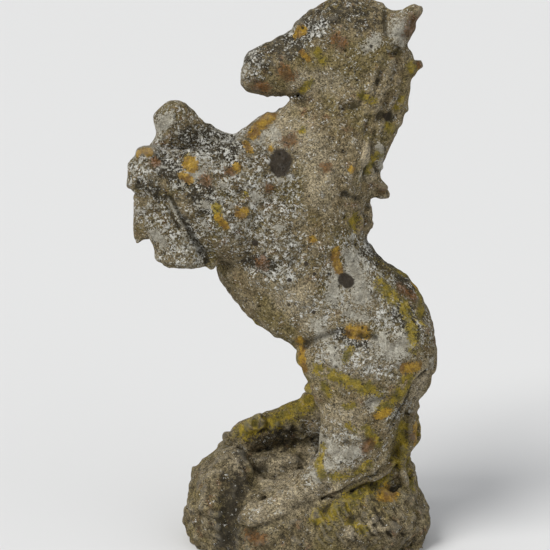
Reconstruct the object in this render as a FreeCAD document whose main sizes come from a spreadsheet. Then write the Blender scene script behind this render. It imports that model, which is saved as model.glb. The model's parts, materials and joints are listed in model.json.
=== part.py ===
"""Rearing horse in cast stone on a rock base, with its steel armature.

A garden ornament: a concrete horse, keyed by its hooves and tail into a concrete
rock base. Both are poured round bent steel bars, which are tied to each other and to
a mat in the base. Frame: +Z up, the horse faces -X, its left side is -Y, origin at
the centre of the base's flat underside. Millimetres.
"""

import FreeCAD
import Part
import math
import os
import Sketcher

CORNER_LETTERS = "abcdefghijkl"

doc = FreeCAD.newDocument("rearing_horse")
sheet = doc.addObject("Spreadsheet::Sheet", "sizes")

# Single sizes. Offsets are across the statue, from its middle plane.
SIZES = {
    "foreleg_offset": 33,
    "hind_offset": 36,
    "ear_offset": 19,
    "bar_radius": 3,
    "bar_gap": 0.1,
    "bend_radius": 12,
    "mat_height": 13,
    "mat_long_offset": 54,
    "mat_long_length": 136,
    "mat_cross_pitch": 60,
    "mat_cross_length": 122,
    "shoulder_bar_x": -4,
    "shoulder_bar_z": 344,
    "shoulder_bar_length": 80,
    "hip_bar_x": 30,
    "hip_bar_z": 240,
    "hip_bar_length": 86,
    "lap_x": 11,
    "lap_z": 395,
    "lap_lean": 25,
    "tie_radius": 7.1,
    "tie_wire_radius": 0.8,
}

# Rings that the stone is lofted through, in order along each limb or trunk:
# name, forward-back place x, height z, lean of the ring's long axis up from +X
# in degrees, half depth along that axis, half breadth across the statue.
TRUNK = [
    ("pelvis", 55, 156, 0, 44, 30),
    ("rump", 60, 184, 3, 64, 50),
    ("croup", 56, 210, 5, 70, 58),
    ("loin", 29, 245, 16, 79, 54),
    ("barrel", -2, 274, 18, 76, 52),
    ("girth", -18, 302, 13, 76, 53),
    ("shoulder", -18, 348, 0, 74, 51),
    ("breast", -3, 394, -16, 71, 46),
    ("neckbase", 13, 418, -13, 62, 38),
    ("neck", 34, 442, -10, 48, 31),
    ("throat", 46, 468, -6, 40, 28),
    ("poll", 50, 500, 0, 39, 26),
    ("crown", 54, 528, 4, 27, 20),
]
HEAD = [
    ("nape", 84, 514, 90, 12, 9),
    ("skull", 72, 511, 90, 36, 26),
    ("cheek", 41, 499, 90, 54, 31),
    ("brow", 11, 496, 90, 50, 30),
    ("face", -15, 488, 90, 34, 23),
    ("nose", -40, 481, 90, 26, 18),
    ("nostril", -58, 478, 90, 20, 16),
    ("lip", -67, 476, 90, 10, 8),
]
# Each limb has its own rings, because no two are held alike.
LEFT_FOREARM = [
    ("left_point", -30, 358, 90, 38, 12),
    ("left_elbow", -84, 357, 90, 58, 24),
    ("left_forearm", -116, 364, 90, 46, 25),
    ("left_forearm_end", -138, 378, 90, 31, 23),
    ("left_knee", -156, 387, 90, 21, 20),
    ("left_kneecap", -176, 387, 90, 11, 10),
]
LEFT_SHANK = [
    ("left_kneeback", -151, 399, 0, 12, 12),
    ("left_cannon_top", -151, 378, 0, 19, 18),
    ("left_cannon", -147, 352, 4, 17, 16),
    ("left_fetlock", -135, 327, 8, 21, 18),
    ("left_coronet", -125, 310, 4, 25, 22),
    ("left_hoof", -122, 292, 2, 25, 23),
]
RIGHT_FOREARM = [
    ("right_point", -40, 382, 90, 26, 14),
    ("right_elbow", -86, 398, 90, 20, 20),
    ("right_forearm", -109, 411, 92, 22, 20),
    ("right_knee", -131, 423, 94, 24, 19),
    ("right_kneecap", -149, 427, 90, 14, 12),
]
RIGHT_SHANK = [
    ("right_kneeback", -136, 444, 0, 12, 11),
    ("right_cannon_top", -137, 426, 2, 18, 16),
    ("right_cannon", -148, 388, 4, 16, 15),
    ("right_fetlock", -158, 351, 2, 17, 16),
    ("right_coronet", -159, 327, 0, 19, 18),
    ("right_hoof", -158, 305, 0, 19, 19),
]
LEFT_THIGH = [
    ("left_hip", 50, 240, 6, 34, 10),
    ("left_stifle", 55, 207, 2, 67, 26),
    ("left_gaskin", 52, 162, -3, 50, 25),
    ("left_second_thigh", 50, 124, -5, 37, 22),
    ("left_hock", 44, 97, -7, 35, 21),
    ("left_hock_point", 42, 80, -10, 27, 17),
]
LEFT_FOOT = [
    ("left_hock_back", 60, 101, -50, 26, 16),
    ("left_shin_top", 28, 81, -50, 27, 19),
    ("left_shin", 1, 62, -54, 21, 18),
    ("left_pastern", -24, 47, -62, 19, 17),
    ("left_hind_coronet", -45, 37, -64, 23, 20),
    ("left_hind_hoof", -62, 30, -68, 21, 20),
    ("left_toe", -74, 25, -72, 12, 12),
]
RIGHT_THIGH = [
    ("right_hip", 50, 240, 6, 34, 10),
    ("right_stifle", 56, 200, 2, 65, 26),
    ("right_gaskin", 49, 164, -4, 51, 24),
    ("right_second_thigh", 50, 142, -8, 41, 22),
    ("right_hock", 50, 124, -13, 34, 20),
    ("right_hock_point", 48, 109, -15, 25, 15),
]
RIGHT_FOOT = [
    ("right_hock_back", 66, 130, -72, 22, 15),
    ("right_shin_top", 26, 125, -73, 27, 19),
    ("right_shin", -6, 115, -73, 22, 17),
    ("right_pastern", -34, 107, -73, 18, 16),
    ("right_hind_coronet", -55, 99, -71, 18, 18),
    ("right_hind_hoof", -69, 93, -70, 17, 16),
    ("right_toe", -78, 89, -70, 9, 9),
]
TAIL = [
    ("dock", 104, 228, 10, 10, 9),
    ("tail_head", 111, 205, -4, 17, 15),
    ("tail_upper", 109, 179, -8, 19, 18),
    ("tail_middle", 97, 152, -7, 21, 20),
    ("tail_lower", 86, 119, -3, 25, 23),
    ("tail_skirt", 79, 87, 0, 27, 26),
    ("tail_ground", 76, 55, 0, 35, 34),
    ("tail_foot", 76, 30, 0, 40, 38),
]
MANE = [
    ("forelock", 74, 536, 30, 15, 13),
    ("mane_top", 80, 506, 3, 18, 15),
    ("mane_crest", 78, 462, -4, 18, 17),
    ("mane_fall", 66, 422, -8, 22, 20),
    ("mane_shoulder", 52, 384, -6, 22, 21),
    ("mane_end", 45, 348, -4, 17, 15),
]
EAR = [
    ("ear_root", 78, 514, -42, 17, 12),
    ("ear_middle", 88, 528, -40, 11, 9),
    ("ear_tip", 103, 543, -42, 4, 2),
]
BASE = [
    ("ground_line", 1, 0, 0, 122, 76),
    ("kerb", 1, 14, 0, 125, 79),
    ("widest", 1, 30, 0, 126, 79),
    ("ledge", -2, 50, 0, 114, 72),
    ("summit", -4, 68, 0, 92, 54),
]

# Locks of the mane that stand out behind the neck, as cones:
# name, root x, root z, rise of the axis from +X in degrees, length, root radius.
LOCKS = [
    ("lock_poll", 86, 484, 12, 24, 15),
    ("lock_withers", 54, 367, -18, 28, 13),
    ("lock_end", 42, 336, -20, 24, 14),
]
# Rocks that make up the base, and the hollow between the hind feet:
# name, x, y, z, half length, half breadth, half height.
ROCKS = [
    ("left_boulder", -86, -4, 50, 36, 56, 49),
    ("far_rock", -30, 38, 58, 62, 34, 50),
    ("tail_mound", 74, 4, 41, 46, 54, 38),
    ("near_bank", 22, -42, 31, 88, 32, 29),
]
HOLLOW = ("hollow", -34, -8, 112, 36, 27, 50)

# Bars of the armature: corners of each bar's centre line as (x, z), end to end.
# A z of 25.2 lies on the mat: its cross bars with one bar and its gap on top.
LEFT_HIND_BAR = [(-92, 25.2), (-48, 25.2), (-14, 50), (38, 88), (52, 150), (58, 240), (14, 240)]
RIGHT_HIND_BAR = [(14, 25.2), (-62, 25.2), (-62, 98), (19, 121), (50, 142), (58, 240), (14, 240)]
LEFT_FORELEG_BAR = [(24, 344), (-36, 344), (-80, 356), (-124, 369), (-165, 390), (-147, 350), (-123, 300)]
RIGHT_FORELEG_BAR = [(24, 344), (-36, 344), (-62, 388), (-109, 411), (-150, 433), (-147, 388), (-158, 314)]
SPINE_BAR = [
    (-14, 25.2), (78, 25.2), (82, 90), (98, 150), (112, 192),
    (84, 228), (8, 272), (-12, 345), (30, 436), (50, 512),
]
HEAD_BAR = [(-8, 354), (30, 436), (43, 484), (-50, 480)]


# ---------------------------------------------------------------- the sheet

def fill_sheet(values):
    """One row of the sheet per value: its name, and the number under an alias."""
    for row, (alias, value) in enumerate(values, start=1):
        sheet.set(f"A{row}", alias)
        sheet.set(f"B{row}", str(value))
        sheet.setAlias(f"B{row}", alias)


def table_values(table, columns):
    """(alias, number) for each number of a table whose rows start with a name."""
    for name, *numbers in table:
        for column, number in zip(columns, numbers):
            yield f"{name}_{column}", number


# ---------------------------------------------------------------- builders

def bind(thing, **expressions):
    """Binds properties to the sheet. In a keyword, __ stands for a dot."""
    for path, expression in expressions.items():
        thing.setExpression(path.replace("__", "."), expression)
    return thing


def loft(name, rings, offset="0"):
    """A solid lofted through elliptical rings that stand across the statue."""
    sections = []
    for ring, *_ in rings:
        section = doc.addObject("Part::Ellipse", f"{name}_{ring}")
        section.Placement = FreeCAD.Placement(
            FreeCAD.Vector(), FreeCAD.Rotation(FreeCAD.Vector(0, -1, 0), 1)
        )
        bind(
            section,
            MajorRadius=f"sizes.{ring}_depth",
            MinorRadius=f"sizes.{ring}_breadth",
            Placement__Base__x=f"sizes.{ring}_x",
            Placement__Base__y=offset,
            Placement__Base__z=f"sizes.{ring}_z",
            Placement__Rotation__Angle=f"sizes.{ring}_lean",
        )
        sections.append(section)
    made = doc.addObject("Part::Loft", name)
    made.Sections = sections
    made.Solid = True
    return made


def rock(name):
    """A rounded rock, as an ellipsoid."""
    made = doc.addObject("Part::Ellipsoid", name)
    return bind(
        made,
        Radius1=f"sizes.{name}_height",
        Radius2=f"sizes.{name}_length",
        Radius3=f"sizes.{name}_breadth",
        Placement__Base__x=f"sizes.{name}_x",
        Placement__Base__y=f"sizes.{name}_y",
        Placement__Base__z=f"sizes.{name}_z",
    )


def lock(name):
    """A tapered lock of mane, as a cone that points back."""
    made = doc.addObject("Part::Cone", name)
    made.Placement = FreeCAD.Placement(
        FreeCAD.Vector(), FreeCAD.Rotation(FreeCAD.Vector(0, 1, 0), 1)
    )
    return bind(
        made,
        Radius1=f"sizes.{name}_root",
        Radius2=f"sizes.{name}_root / 5",
        Height=f"sizes.{name}_reach",
        Placement__Base__x=f"sizes.{name}_x",
        Placement__Base__z=f"sizes.{name}_z",
        Placement__Rotation__Angle=f"90 - sizes.{name}_rise",
    )


def hold_point(path, geometry, position, name):
    """Ties a point of a path to the corner of that name in the sheet."""
    for kind, axis in (("DistanceX", "x"), ("DistanceY", "z")):
        value = sheet.get(f"{name}_{axis}")
        at = path.addConstraint(Sketcher.Constraint(kind, -1, 1, geometry, position, value))
        path.setExpression(f"Constraints[{at}]", f"sizes.{name}_{axis}")


def bent_path(path, name, corners):
    """Fills a sketch with straight runs from corner to corner, and an arc at each bend."""
    bend = SIZES["bend_radius"]
    points = [FreeCAD.Vector(x, z, 0) for x, z in corners]
    starts = [points[0]]
    ends = []
    arcs = []
    for before, corner, after in zip(points, points[1:], points[2:]):
        towards = (corner - before).normalize()
        away = (after - corner).normalize()
        half_turn = towards.getAngle(away) / 2
        reach = bend * math.tan(half_turn)
        inset = bend / math.cos(half_turn) - bend
        ends.append(corner - towards * reach)
        starts.append(corner + away * reach)
        arcs.append(Part.Arc(ends[-1], corner + (away - towards).normalize() * inset, starts[-1]))
    ends.append(points[-1])
    runs = [path.addGeometry(Part.LineSegment(a, b)) for a, b in zip(starts, ends)]
    bends = [path.addGeometry(arc) for arc in arcs]
    names = [f"{name}_{letter}" for letter in CORNER_LETTERS]
    hold_point(path, runs[0], 1, names[0])
    hold_point(path, runs[-1], 2, names[len(corners) - 1])
    for place, arc in enumerate(bends):
        run, next_run = runs[place], runs[place + 1]
        first, last = 1, 2
        if path.getPoint(arc, first).distanceToPoint(ends[place]) > bend / 100:
            first, last = 2, 1
        path.addConstraint(Sketcher.Constraint("Tangent", run, 2, arc, first))
        path.addConstraint(Sketcher.Constraint("Tangent", next_run, 1, arc, last))
        at = path.addConstraint(Sketcher.Constraint("Radius", arc, bend))
        path.setExpression(f"Constraints[{at}]", "sizes.bend_radius")
        corner = path.addGeometry(Part.Point(points[place + 1]), True)
        path.addConstraint(Sketcher.Constraint("PointOnObject", corner, 1, run))
        path.addConstraint(Sketcher.Constraint("PointOnObject", corner, 1, next_run))
        hold_point(path, corner, 1, names[place + 1])


def bent_bar(name, corners, offset):
    """A round bar swept along its bent path, which lies in an upright plane."""
    body = doc.addObject("PartDesign::Body", name)
    bind(body, Placement__Base__y=offset)
    path = body.newObject("Sketcher::SketchObject", f"{name}_path")
    upright = next(o for o in body.Origin.OriginFeatures if o.Role == "XZ_Plane")
    path.AttachmentSupport = [(upright, "")]
    path.MapMode = "FlatFace"
    bent_path(path, name, corners)
    doc.recompute()
    section = body.newObject("Sketcher::SketchObject", f"{name}_section")
    section.AttachmentSupport = [(path, "Edge1")]
    section.MapMode = "NormalToEdge"
    section.addGeometry(Part.Circle(FreeCAD.Vector(), FreeCAD.Vector(0, 0, 1), SIZES["bar_radius"]))
    section.addConstraint(Sketcher.Constraint("Coincident", 0, 3, -1, 1))
    section.addConstraint(Sketcher.Constraint("Radius", 0, SIZES["bar_radius"]))
    section.setExpression("Constraints[1]", "sizes.bar_radius")
    pipe = body.newObject("PartDesign::AdditivePipe", f"{name}_pipe")
    pipe.Profile = section
    pipe.Spine = (path, [f"Edge{number}" for number in range(1, 2 * len(corners) - 2)])
    body.Tip = pipe
    return body


def straight_bar(name, length, z, x=None, y=None):
    """A straight round bar: across the statue at x, or along it at y. Its middle is at 0."""
    made = doc.addObject("Part::Cylinder", name)
    turned_about = FreeCAD.Vector(0, 1, 0) if x is None else FreeCAD.Vector(-1, 0, 0)
    made.Placement = FreeCAD.Placement(FreeCAD.Vector(), FreeCAD.Rotation(turned_about, 90))
    return bind(
        made,
        Radius="sizes.bar_radius",
        Height=length,
        Placement__Base__x=x or f"-{length} / 2",
        Placement__Base__y=y or f"-{length} / 2",
        Placement__Base__z=z,
    )


def tie(name, x, y, z, lap=False):
    """A wire ring round two bars: slantwise over a crossing, or square to a lap."""
    made = doc.addObject("Part::Torus", name)
    if lap:
        rotation = FreeCAD.Rotation(FreeCAD.Vector(0, 1, 0), SIZES["lap_lean"])
    else:
        rotation = FreeCAD.Rotation(FreeCAD.Vector(0, 0, 1), FreeCAD.Vector(1, 1, 0))
    made.Placement = FreeCAD.Placement(FreeCAD.Vector(), rotation)
    if lap:
        bind(made, Placement__Rotation__Angle="sizes.lap_lean")
    return bind(
        made,
        Radius1="sizes.tie_radius",
        Radius2="sizes.tie_wire_radius",
        Placement__Base__x=x,
        Placement__Base__y=y,
        Placement__Base__z=z,
    )


def group(label, members):
    """Separate solids that share one node."""
    made = doc.addObject("Part::Compound", label)
    made.Links = members
    return made


def join(name, pieces):
    """Fuses the pieces one after another."""
    joined = pieces[0]
    for number, piece in enumerate(pieces[1:], start=1):
        fused = doc.addObject("Part::Fuse", f"{name}_{number}")
        fused.Base = joined
        fused.Tool = piece
        fused.Refine = False
        joined = fused
    return joined


def cut(name, base, tool):
    made = doc.addObject("Part::Cut", name)
    made.Base = base
    made.Tool = tool
    made.Refine = False
    return made


# ---------------------------------------------------------------- the horse and base

def horse_stone():
    left_front, right_front = "-sizes.foreleg_offset", "sizes.foreleg_offset"
    left_back, right_back = "-sizes.hind_offset", "sizes.hind_offset"
    members = [
        loft("trunk", TRUNK),
        loft("mane", MANE),
        *[lock(name) for name, *_ in LOCKS],
        loft("head", HEAD),
        loft("left_ear", EAR, "-sizes.ear_offset"),
        loft("right_ear", EAR, "sizes.ear_offset"),
        loft("tail", TAIL),
        loft("left_forearm_stone", LEFT_FOREARM, left_front),
        loft("left_shank_stone", LEFT_SHANK, left_front),
        loft("right_forearm_stone", RIGHT_FOREARM, right_front),
        loft("right_shank_stone", RIGHT_SHANK, right_front),
        loft("left_thigh_stone", LEFT_THIGH, left_back),
        loft("left_foot_stone", LEFT_FOOT, left_back),
        loft("right_thigh_stone", RIGHT_THIGH, right_back),
        loft("right_foot_stone", RIGHT_FOOT, right_back),
    ]
    return join("horse_stone", members)


def base_stone(horse):
    mound = join("mound", [loft("rock_base", BASE)] + [rock(name) for name, *_ in ROCKS])
    dished = cut("dished_mound", mound, rock(HOLLOW[0]))
    return cut("keyed_mound", dished, horse)


# ---------------------------------------------------------------- the armature

def leg_and_spine_bars():
    return [
        bent_bar("spine_bar", SPINE_BAR, "0"),
        bent_bar("head_bar", HEAD_BAR, "2 * sizes.bar_radius + sizes.bar_gap"),
        bent_bar("left_hind_bar", LEFT_HIND_BAR, "-sizes.hind_offset"),
        bent_bar("right_hind_bar", RIGHT_HIND_BAR, "sizes.hind_offset"),
        bent_bar("left_foreleg_bar", LEFT_FORELEG_BAR, "-sizes.foreleg_offset"),
        bent_bar("right_foreleg_bar", RIGHT_FORELEG_BAR, "sizes.foreleg_offset"),
    ]


def cross_bars():
    on_top = "2 * sizes.bar_radius + sizes.bar_gap"
    return [
        straight_bar(
            f"{place}_cross_bar", f"sizes.{place}_bar_length",
            f"sizes.{place}_bar_z + {on_top}", x=f"sizes.{place}_bar_x",
        )
        for place in ("shoulder", "hip")
    ]


def mat_bars():
    on_top = "2 * sizes.bar_radius + sizes.bar_gap"
    long_bars = [
        straight_bar(
            f"mat_long_bar_{side}", "sizes.mat_long_length",
            "sizes.mat_height", y=f"{sign}sizes.mat_long_offset",
        )
        for side, sign in (("left", "-"), ("right", ""))
    ]
    short_bars = [
        straight_bar(
            f"mat_cross_bar_{number + 2}", "sizes.mat_cross_length",
            f"sizes.mat_height + {on_top}", x=f"{number} * sizes.mat_cross_pitch",
        )
        for number in (-1, 0, 1)
    ]
    return [group("mat_long_bars", long_bars), group("mat_cross_bars", short_bars)]


def tie_wires():
    half_up = "sizes.bar_radius + sizes.bar_gap / 2"
    ties = []
    for number in (-1, 0, 1):
        for side, sign in (("left", "-"), ("right", "")):
            ties.append(tie(
                f"mat_tie_{number + 1}_{side}",
                f"{number} * sizes.mat_cross_pitch",
                f"{sign}sizes.mat_long_offset",
                f"sizes.mat_height + {half_up}",
            ))
    starters = {
        "left_hind": (-1, "-sizes.hind_offset"),
        "right_hind": (0, "sizes.hind_offset"),
        "tail": (0, "0"),
        "tail_bend": (1, "0"),
    }
    for name, (number, y) in starters.items():
        ties.append(tie(
            f"{name}_tie", f"{number} * sizes.mat_cross_pitch", y, f"sizes.mat_height + 3 * ({half_up})",
        ))
    for place, offset in (("shoulder", "foreleg_offset"), ("hip", "hind_offset")):
        for side, sign in (("left", "-"), ("right", "")):
            ties.append(tie(
                f"{place}_{side}_tie", f"sizes.{place}_bar_x",
                f"{sign}sizes.{offset}", f"sizes.{place}_bar_z + {half_up}",
            ))
    ties.append(tie("neck_tie", "sizes.lap_x", half_up, "sizes.lap_z", lap=True))
    return group("tie_wires", ties)


# ---------------------------------------------------------------- main

RING_COLUMNS = ("x", "z", "lean", "depth", "breadth")
ROCK_COLUMNS = ("x", "y", "z", "length", "breadth", "height")
LOCK_COLUMNS = ("x", "z", "rise", "reach", "root")
RING_TABLES = (
    TRUNK, HEAD, MANE, EAR, TAIL, LEFT_FOREARM, LEFT_SHANK, RIGHT_FOREARM, RIGHT_SHANK,
    LEFT_THIGH, LEFT_FOOT, RIGHT_THIGH, RIGHT_FOOT, BASE,
)
BARS = {
    "spine_bar": SPINE_BAR,
    "head_bar": HEAD_BAR,
    "left_hind_bar": LEFT_HIND_BAR,
    "right_hind_bar": RIGHT_HIND_BAR,
    "left_foreleg_bar": LEFT_FORELEG_BAR,
    "right_foreleg_bar": RIGHT_FORELEG_BAR,
}

rows = list(SIZES.items())
for table in RING_TABLES:
    rows += table_values(table, RING_COLUMNS)
rows += table_values(ROCKS + [HOLLOW], ROCK_COLUMNS)
rows += table_values(LOCKS, LOCK_COLUMNS)
for name, corners in BARS.items():
    for letter, (x, z) in zip(CORNER_LETTERS, corners):
        rows += [(f"{name}_{letter}_x", x), (f"{name}_{letter}_z", z)]
fill_sheet(rows)
doc.recompute()

steel = leg_and_spine_bars() + cross_bars() + mat_bars() + [tie_wires()]
armature = group("armature", steel)
horse = horse_stone()
base = base_stone(horse)
horse_casting = cut("horse_casting", horse, armature)
base_casting = cut("base_casting", base, armature)
doc.recompute()

failed = [o.Name for o in doc.Objects if "Invalid" in o.State or "Error" in o.State]
if failed:
    raise SystemExit(f"failed objects: {failed}")
sub_parts = [horse_casting, base_casting] + steel
for part in sub_parts:
    if part.Shape.isNull() or not part.Shape.isValid():
        raise SystemExit(f"{part.Label} has no valid shape")

os.makedirs("parts", exist_ok=True)
for part in sub_parts:
    part.Shape.exportStep(f"parts/{part.Label}.step")
    print(part.Label, len(part.Shape.Solids), "solids", round(part.Shape.Volume / 1000, 2), "cm3")
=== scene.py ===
"""A weathered cast-stone horse on its rock base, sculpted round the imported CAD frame.

The two CAD castings become distance fields. Brush strokes, locks of hair, rubble and
casting holes are worked into the fields, and the fields are meshed again. Lengths are in
units of a 550th of the statue's height, which is about 1 mm. The horse faces -X, and its
left side is towards -Y.
"""

import json
import math

import bpy
import numpy as np
import openvdb as vdb
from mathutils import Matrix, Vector


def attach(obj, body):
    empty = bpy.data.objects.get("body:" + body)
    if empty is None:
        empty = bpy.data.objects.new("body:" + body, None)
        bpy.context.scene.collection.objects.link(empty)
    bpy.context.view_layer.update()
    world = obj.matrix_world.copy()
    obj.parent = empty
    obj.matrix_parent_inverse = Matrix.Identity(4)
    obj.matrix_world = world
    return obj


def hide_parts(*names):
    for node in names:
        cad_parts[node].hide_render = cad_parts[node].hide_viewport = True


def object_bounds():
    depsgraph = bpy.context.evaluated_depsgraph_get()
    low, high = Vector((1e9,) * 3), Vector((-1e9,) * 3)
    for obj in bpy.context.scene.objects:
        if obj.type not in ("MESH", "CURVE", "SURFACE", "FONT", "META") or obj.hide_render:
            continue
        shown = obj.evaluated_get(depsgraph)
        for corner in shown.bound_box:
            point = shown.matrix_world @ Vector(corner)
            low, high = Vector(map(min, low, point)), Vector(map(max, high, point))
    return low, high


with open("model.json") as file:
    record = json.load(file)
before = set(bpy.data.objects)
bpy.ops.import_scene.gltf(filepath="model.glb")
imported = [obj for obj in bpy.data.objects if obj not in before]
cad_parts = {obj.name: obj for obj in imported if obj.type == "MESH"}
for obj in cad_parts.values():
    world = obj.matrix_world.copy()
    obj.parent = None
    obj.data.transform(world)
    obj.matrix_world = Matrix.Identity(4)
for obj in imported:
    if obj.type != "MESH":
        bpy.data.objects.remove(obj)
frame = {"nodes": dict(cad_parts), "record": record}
CAD_LOW, CAD_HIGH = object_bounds()

HEIGHT = 550  # of the whole statue, in units
UNIT = (CAD_HIGH.z - CAD_LOW.z) / HEIGHT
VOXEL = 1.25  # the grid's spacing
MARGIN = 10  # the grid's room round the CAD box
BAND = 24  # how far from a surface its field still tells the distance
FADE_REACH = 2.2  # a brush stroke is nothing beyond this many of its widths
LEFT, RIGHT = -1, 1
BOTH = (LEFT, RIGHT)
rng = np.random.default_rng(7)


# ---------------------------------------------------------------- the grid

GRID_LOW = np.array(CAD_LOW) / UNIT - MARGIN
GRID_HIGH = np.array(CAD_HIGH) / UNIT + MARGIN
SHAPE = np.ceil((GRID_HIGH - GRID_LOW) / VOXEL).astype(int)
AXES = [GRID_LOW[i] + VOXEL * np.arange(SHAPE[i], dtype=np.float32) for i in range(3)]


def level_set(points, triangles=None, quads=None):
    """The field of a closed mesh: distance to its surface, below 0 inside."""
    grid = vdb.FloatGrid.createLevelSetFromPolygons(
        (points - GRID_LOW).astype(np.float32),
        triangles=triangles,
        quads=quads,
        transform=vdb.createLinearTransform(voxelSize=VOXEL),
        halfWidth=BAND / VOXEL,
    )
    field = np.empty(SHAPE, np.float32)
    grid.copyToArray(field)
    return field


def surface(field, level=0.0):
    """The points and quads of the surface where a field has that level."""
    reach = 3 * VOXEL + abs(level)
    grid = vdb.FloatGrid(reach)
    grid.transform = vdb.createLinearTransform(voxelSize=VOXEL)
    grid.copyFromArray(np.clip(field, -reach, reach))
    points, quads = grid.convertToQuads(isovalue=level)
    return points + GRID_LOW, quads


def main_lump(points, quads):
    """The biggest joined part of a mesh, without loose crumbs and closed pockets.

    Joined points end up with the same label: the lowest number among them.
    """
    label = np.arange(len(points))
    while True:
        lower = label.copy()
        np.minimum.at(lower, quads.ravel(), np.repeat(label[quads].min(axis=1), 4))
        lower = lower[lower]
        if np.array_equal(lower, label):
            break
        label = lower
    kept = label == np.bincount(label).argmax()
    renumbered = np.cumsum(kept) - 1
    return points[kept], renumbered[quads[kept[quads[:, 0]]]]


def casting_field(node):
    """A casting's field. Growing it and shrinking it again closes the bars' channels."""
    closing = 4.5
    mesh = frame["nodes"][node].data
    points = np.empty(len(mesh.vertices) * 3, np.float32)
    mesh.vertices.foreach_get("co", points)
    mesh.calc_loop_triangles()
    triangles = np.empty(len(mesh.loop_triangles) * 3, np.int32)
    mesh.loop_triangles.foreach_get("vertices", triangles)
    field = level_set(points.reshape(-1, 3) / UNIT, triangles.reshape(-1, 3).astype(np.uint32))
    points, quads = surface(field, closing)
    return level_set(points, quads=quads) + closing


def blur(field, reach):
    """A field smoothed over about reach units: a mean over a cube, three times."""
    reach_per_step = 1.8
    steps = max(1, round(reach / VOXEL / reach_per_step))
    for _ in range(3):
        for axis in range(3):
            padding = [(steps, steps) if i == axis else (0, 0) for i in range(3)]
            padded = np.pad(field, padding, mode="edge")
            total = np.zeros_like(field)
            for shift in range(2 * steps + 1):
                part = [slice(None)] * 3
                part[axis] = slice(shift, shift + field.shape[axis])
                total += padded[tuple(part)]
            field = total / (2 * steps + 1)
    return field


def noise(cell):
    """Smooth random relief with bumps of about a cell across. Its spread is about 1.

    Random values on a coarse lattice are joined by cubic B-splines.
    """
    spline_spread = 0.33
    weights = []
    for axis in AXES:
        place = (axis - axis[0]) / cell
        knots = np.arange(int(place[-1]) + 4) - 1
        t = np.abs(place[:, None] - knots[None, :])
        inner = 2 / 3 - t**2 + t**3 / 2
        outer = np.clip(2 - t, 0, None) ** 3 / 6
        weights.append(np.where(t < 1, inner, outer).astype(np.float32))
    lattice = rng.standard_normal([w.shape[1] for w in weights]).astype(np.float32)
    for w in weights:
        lattice = np.moveaxis(np.tensordot(w, lattice, axes=(1, 0)), 0, -1)
    return lattice / spline_spread


def window(points, reach):
    """The part of the grid within reach of some points: its slices and its coordinates."""
    slices = []
    for axis, a, b in zip(AXES, np.min(points, 0) - reach, np.max(points, 0) + reach):
        first = int(np.clip((a - axis[0]) / VOXEL, 0, len(axis) - 1))
        last = int(np.clip((b - axis[0]) / VOXEL + 2, first + 1, len(axis)))
        slices.append(slice(first, last))
    x, y, z = (axis[part] for axis, part in zip(AXES, slices))
    return tuple(slices), (x[:, None, None], y[None, :, None], z[None, None, :])


def smooth_line(points, radii, steps=5):
    """A curve through the points, with the radii eased along it. One point makes a dot."""
    rows = np.column_stack([np.array(points, float), np.broadcast_to(radii, len(points))])
    if len(rows) == 1:
        return np.repeat(rows, 2, axis=0).astype(np.float32)
    padded = np.vstack([2 * rows[0] - rows[1], rows, 2 * rows[-1] - rows[-2]])
    made = []
    for a, b, c, d in zip(padded, padded[1:], padded[2:], padded[3:]):
        for t in np.arange(steps) / steps:
            made.append(
                0.5 * (2 * b + (c - a) * t + (2 * a - 5 * b + 4 * c - d) * t**2
                       + (3 * b - a - 3 * c + d) * t**3)
            )
    made.append(rows[-1])
    return np.array(made, np.float32)


def line_distance(rows, coordinates):
    """Distance from each place to a line, less the line's radius there."""
    x, y, z = coordinates
    best = None
    for a, b in zip(rows, rows[1:]):
        run = b - a
        length_squared = float(run[:3] @ run[:3]) + 1e-9
        t = ((x - a[0]) * run[0] + (y - a[1]) * run[1] + (z - a[2]) * run[2]) / length_squared
        t = np.clip(t, 0, 1)
        gap = np.sqrt(
            (x - a[0] - t * run[0]) ** 2 + (y - a[1] - t * run[1]) ** 2
            + (z - a[2] - t * run[2]) ** 2
        ) - (a[3] + t * run[3])
        best = gap if best is None else np.minimum(best, gap)
    return best


# ---------------------------------------------------------------- the chisel

def blend_in(field, other, soft):
    """The lower of two fields, with a rounded seam."""
    share = np.clip(0.5 + 0.5 * (other - field) / soft, 0, 1)
    return other + (field - other) * share - soft * share * (1 - share)


def tube(points, radii, soft):
    """A part of the grid round a tube along a curve, and the distance from the tube there."""
    rows = smooth_line(points, radii)
    part, coordinates = window(rows[:, :3], rows[:, 3].max() + soft + 2 * VOXEL)
    return part, line_distance(rows, coordinates)


def add_tube(field, points, radii, soft):
    """Adds stone along a curve."""
    part, distance = tube(points, radii, soft)
    field[part] = blend_in(field[part], distance, soft)


def carve_tube(field, points, radii, soft):
    """Takes stone away along a curve."""
    part, distance = tube(points, radii, soft)
    field[part] = -blend_in(-field[part], distance, soft)


def brush(field, points, width, height):
    """Raises the surface along a curve by height, or lowers it, fading out over the width."""
    rows = smooth_line(points, 0)
    part, coordinates = window(rows[:, :3], FADE_REACH * width)
    fade = np.exp(-((line_distance(rows, coordinates) / width) ** 2))
    field[part] -= height * fade


def trim(field, points, width, depth, y=0.0, spread=40.0):
    """Moves the outline in by a depth along points given as (x, z), over a spread of y."""
    line = smooth_line([(a, 0, b) for a, b in points], 0)
    ends = np.vstack([line[:, :3] + (0, y - spread, 0), line[:, :3] + (0, y + spread, 0)])
    part, (px, py, pz) = window(ends, FADE_REACH * width)
    fade = np.exp(-((line_distance(line, (px, 0 * py, pz)) / width) ** 2))
    field[part] += depth * fade * np.exp(-(((py - y) / spread) ** 4))


def trims(field, rows, y=0.0, spread=40.0):
    """Moves the outline in or out by rows of points, width and depth."""
    for points, width, depth in rows:
        trim(field, points, width, depth, y, spread)


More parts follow.
